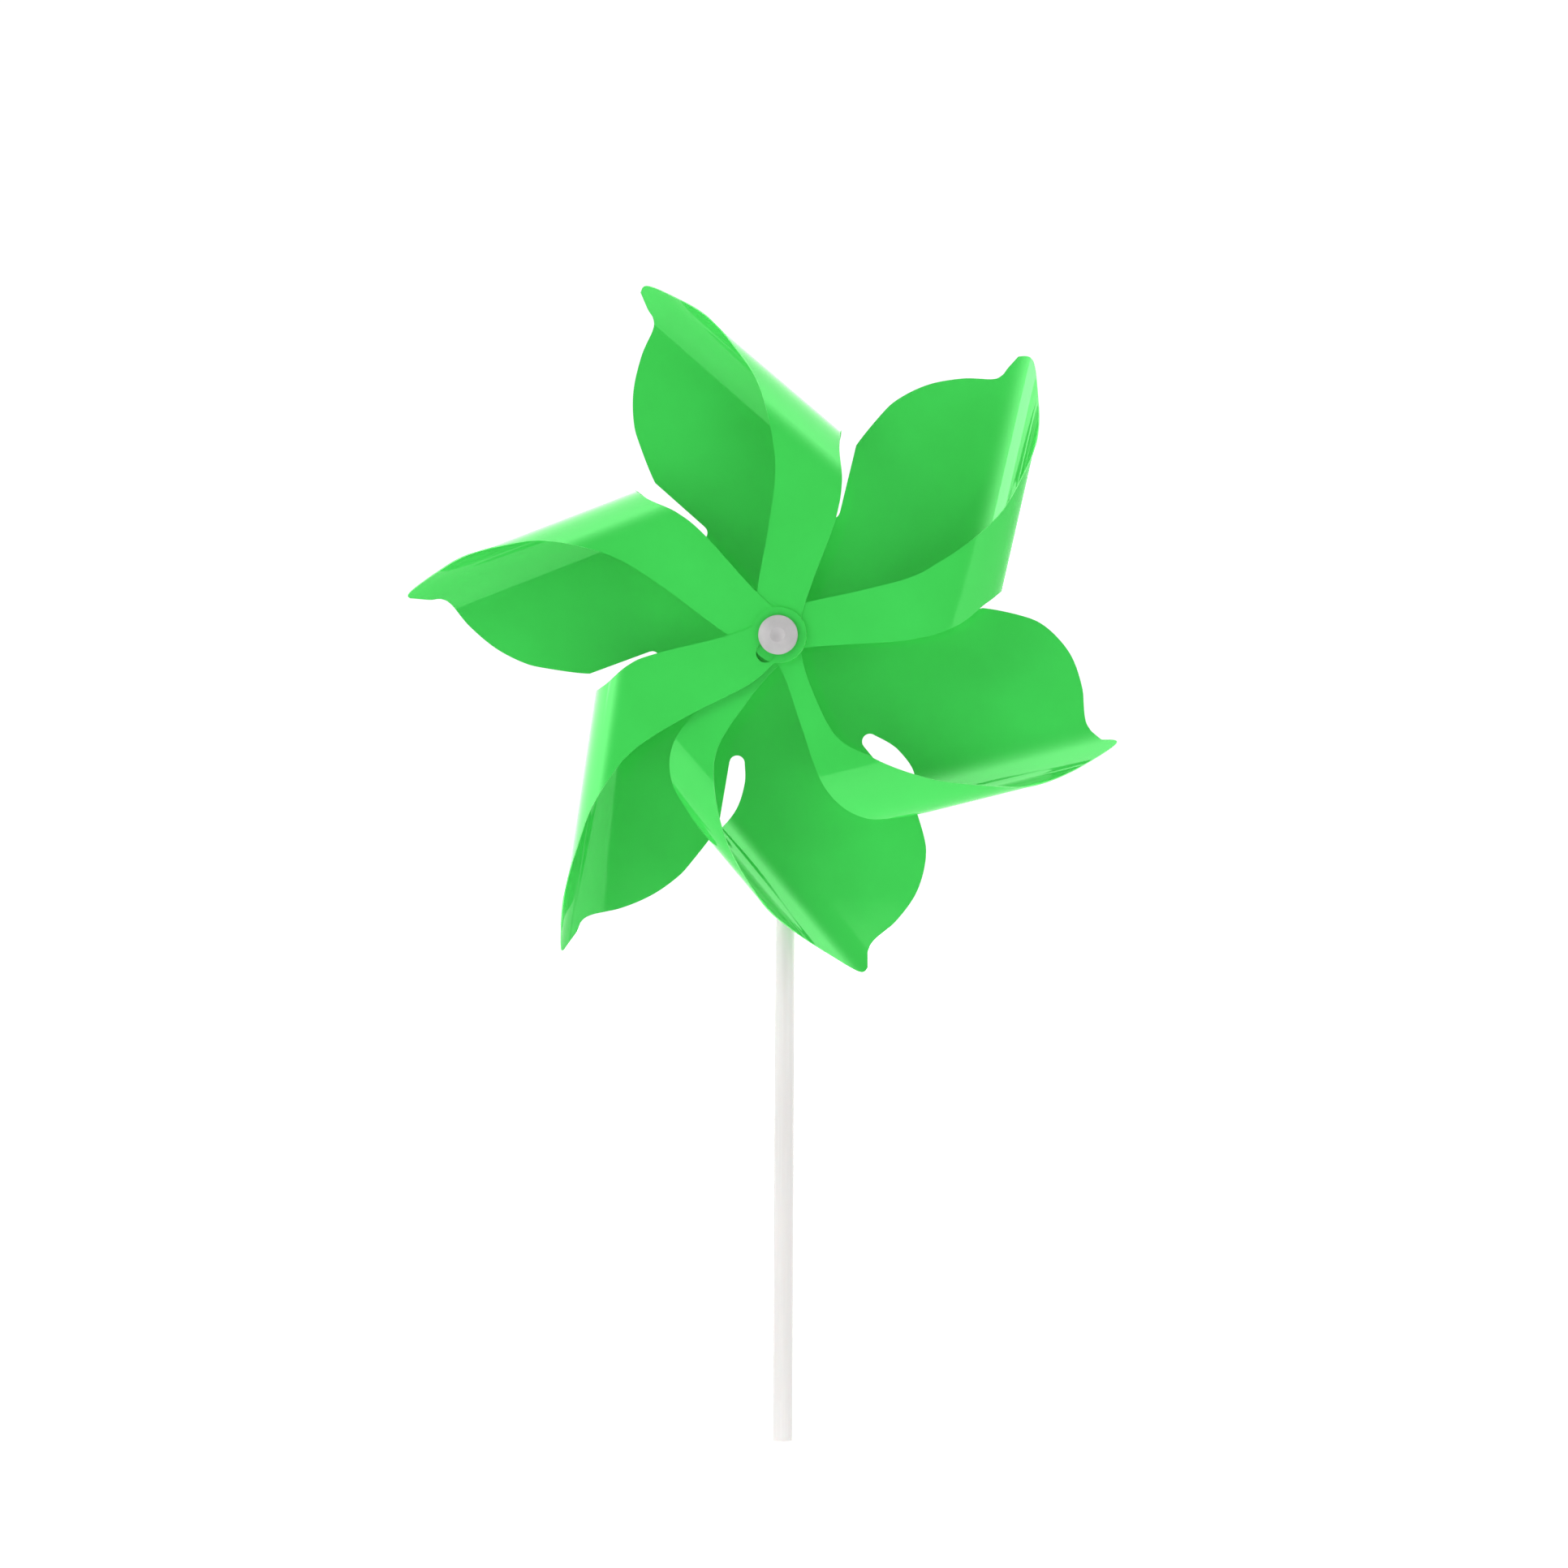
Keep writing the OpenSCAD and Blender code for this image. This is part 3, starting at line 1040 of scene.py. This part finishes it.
# --- Stick ------------------------------------------------------------------------------


@dataclass(frozen=True)
class Stick:
    """The tube that carries the wheel, and the head plugged into its top."""

    axle: Axle
    wall: float = 0.8 * MM
    cut_edge: float = 0.15 * MM
    head_length: float = 20 * MM
    head_edge: float = 0.6 * MM

    def tube(self) -> bpy.types.Object:
        """Returns the tube, its ends cut square with their edges just broken."""
        low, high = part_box("stick")
        radius = (high.x - low.x) / 2
        bore = radius - self.wall
        edge = self.cut_edge
        outline = rounded(
            [(bore, high.z / 2, 0), (bore, high.z, edge), (radius, high.z, edge), (radius, low.z, edge),
             (bore, low.z, edge), (bore, high.z / 2, 0)], 4
        )
        return make_piece("stick_tube", lathe(outline, Matrix.Identity(4)), [TubeFinish().make()])

    def head(self) -> bpy.types.Object:
        """Returns the moulded head, bored across for the axle pin."""
        low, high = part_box("stick_head")
        tube_low, tube_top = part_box("stick")
        radius = (high.x - low.x) / 2
        plug = (tube_top.x - tube_low.x) / 2 - self.wall
        shoulder = tube_top.z + self.head_length
        edge = self.head_edge
        dome = cap_curve((radius - edge, shoulder + edge / 2), high.z - shoulder - edge / 2)
        outline = rounded(
            [(0, low.z, 0), (plug, low.z, edge), (plug, tube_top.z, 0),
             (radius, tube_top.z, edge / 2), (radius, shoulder, edge), *dome]
        )
        head = make_piece("stick_head_moulded", lathe(outline, Matrix.Identity(4)), [self.white().make()])
        carve(head, rod(self.axle.pin_radius, 4 * radius, self.axle.place))
        return head

    def white(self) -> MouldedFinish:
        """Returns the head's finish."""
        return MouldedFinish("white_moulded_head", *WHITE_TONES)

    def build(self) -> list[bpy.types.Object]:
        """Returns the stick's pieces, in place and riding."""
        tube, head = self.tube(), self.head()
        for piece, node, slot in ((tube, "stick", Slot.STICK), (head, "stick_head", Slot.FITTING)):
            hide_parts(node)
            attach(piece, Body.STAND.value)
        return [tube, head]


# --- Studio -----------------------------------------------------------------------------


@dataclass(frozen=True)
class Camera:
    """A long lens a little below the axle and to the right of its line."""

    axle: Axle
    azimuth: float = 4.7
    elevation: float = -1.6
    distance: float = 1.8
    field: float = 579.6 * MM
    aim_below: float = 54.3 * MM
    roll: float = 0.27

    def build(self) -> None:
        """Makes the scene's camera."""
        back, front = self.axle.span("vane_disc")
        hub = Vector((0, -(back + front) / 2, self.axle.height))
        az, el = math.radians(self.azimuth), math.radians(self.elevation)
        way = Vector((math.sin(az) * math.cos(el), -math.cos(az) * math.cos(el), math.sin(el)))
        lens = bpy.data.cameras.new("camera")
        lens.sensor_fit = "HORIZONTAL"
        lens.angle = 2 * math.atan(self.field / 2 / self.distance)
        lens.clip_start = 0.05
        camera = bpy.data.objects.new("camera", lens)
        bpy.context.scene.collection.objects.link(camera)
        spot = hub + way * self.distance
        aim = hub - Vector((0, 0, self.aim_below)) - spot
        turn = aim.to_track_quat("-Z", "Y").to_matrix().to_4x4()
        roll = Matrix.Rotation(math.radians(self.roll), 4, "Z")
        camera.matrix_world = Matrix.Translation(spot) @ turn @ roll
        bpy.context.scene.camera = camera


@dataclass(frozen=True)
class SoftBox:
    """A square studio light that faces the wheel."""

    name: str
    spot: tuple[float, float, float]
    size: float
    watts: float

    def build(self, target: Vector) -> None:
        """Makes the light.

        Args:
            target: The point it faces.
        """
        light = bpy.data.lights.new(self.name, "AREA")
        light.shape = "SQUARE"
        light.size = self.size
        light.energy = self.watts
        lamp = bpy.data.objects.new(self.name, light)
        bpy.context.scene.collection.objects.link(lamp)
        spot = Vector(self.spot)
        turn = (target - spot).to_track_quat("-Z", "Y").to_matrix().to_4x4()
        lamp.matrix_world = Matrix.Translation(spot) @ turn


@dataclass(frozen=True)
class Studio:
    """Plain pale floor, even white surroundings and soft boxes."""

    axle: Axle
    floor_size: float = 12.0
    backdrop: float = 1.05
    mirrored: float = 4.5
    mirrored_ahead: float = 0.15
    dim_side: Pair = (-0.985, -0.70)
    ambient: float = 0.12
    floor_glow: float = 0.72
    boxes: tuple[SoftBox, ...] = (
        SoftBox("key_box", (-1.5, -1.1, 0.9), 0.8, 9),
        SoftBox("right_box", (1.5, -1.3, 0.9), 0.4, 3),
        SoftBox("top_box", (0.1, -0.9, 2.0), 0.7, 6),
    )

    def surround(self) -> bpy.types.World:
        """Returns white surroundings, even but for a dim side that the wheel faces and mirrors."""
        world = bpy.data.worlds.new("surround")
        world.use_nodes = True
        nodes, links = world.node_tree.nodes, world.node_tree.links
        path = nodes.new("ShaderNodeLightPath")
        way = nodes.new("ShaderNodeSeparateXYZ")
        links.new(nodes.new("ShaderNodeTexCoord").outputs["Generated"], way.inputs["Vector"])
        sides = nodes.new("ShaderNodeMapRange")
        sides.interpolation_type = "SMOOTHSTEP"
        links.new(way.outputs["Y"], sides.inputs["Value"])
        sides.inputs["From Min"].default_value, sides.inputs["From Max"].default_value = self.dim_side
        sides.inputs["To Min"].default_value = self.mirrored_ahead
        sides.inputs["To Max"].default_value = self.mirrored
        strength = sides.outputs["Result"]
        for ray, value in (("Is Diffuse Ray", self.ambient), ("Is Camera Ray", self.backdrop)):
            mix = nodes.new("ShaderNodeMix")
            mix.inputs["B"].default_value = value
            links.new(path.outputs[ray], mix.inputs["Factor"])
            links.new(strength, mix.inputs["A"])
            strength = mix.outputs["Result"]
        backing = nodes["Background"]
        backing.inputs["Color"].default_value = (1, 1, 1, 1)
        links.new(strength, backing.inputs["Strength"])
        return world

    def build(self) -> None:
        """Makes the floor, the surroundings and the lights."""
        bm = bmesh.new()
        bmesh.ops.create_grid(bm, x_segments=4, y_segments=4, size=self.floor_size / 2)
        board = ShaderBoard("pale_floor")
        board.feed("Base Color", board.tint(board.noise(0.8), (0.93, 0.93, 0.93), (0.95, 0.95, 0.95)))
        board.set(Roughness=0.9, Emission_Color=(1, 1, 1, 1), Emission_Strength=self.floor_glow)
        floor = make_piece("floor", bm, [board.material])
        low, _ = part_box("stick")
        floor.location.z = low.z
        bpy.context.scene.world = self.surround()
        for box in self.boxes:
            box.build(Vector((0, 0, self.axle.height)))
        bpy.context.scene.view_settings.view_transform = "Standard"


def main() -> None:
    """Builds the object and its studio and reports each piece."""
    logging.basicConfig(level=logging.INFO, format="%(name)s: %(message)s")
    axle = Axle.from_frame()
    Camera(axle).build()
    Studio(axle).build()
    pieces = [VaneSheet(axle).build(), *Hub(axle).build(), *Stick(axle).build()]
    for piece in pieces:
        LOG.info("%s: %d faces", piece.name, len(piece.data.polygons))


if __name__ == "__main__":
    main()
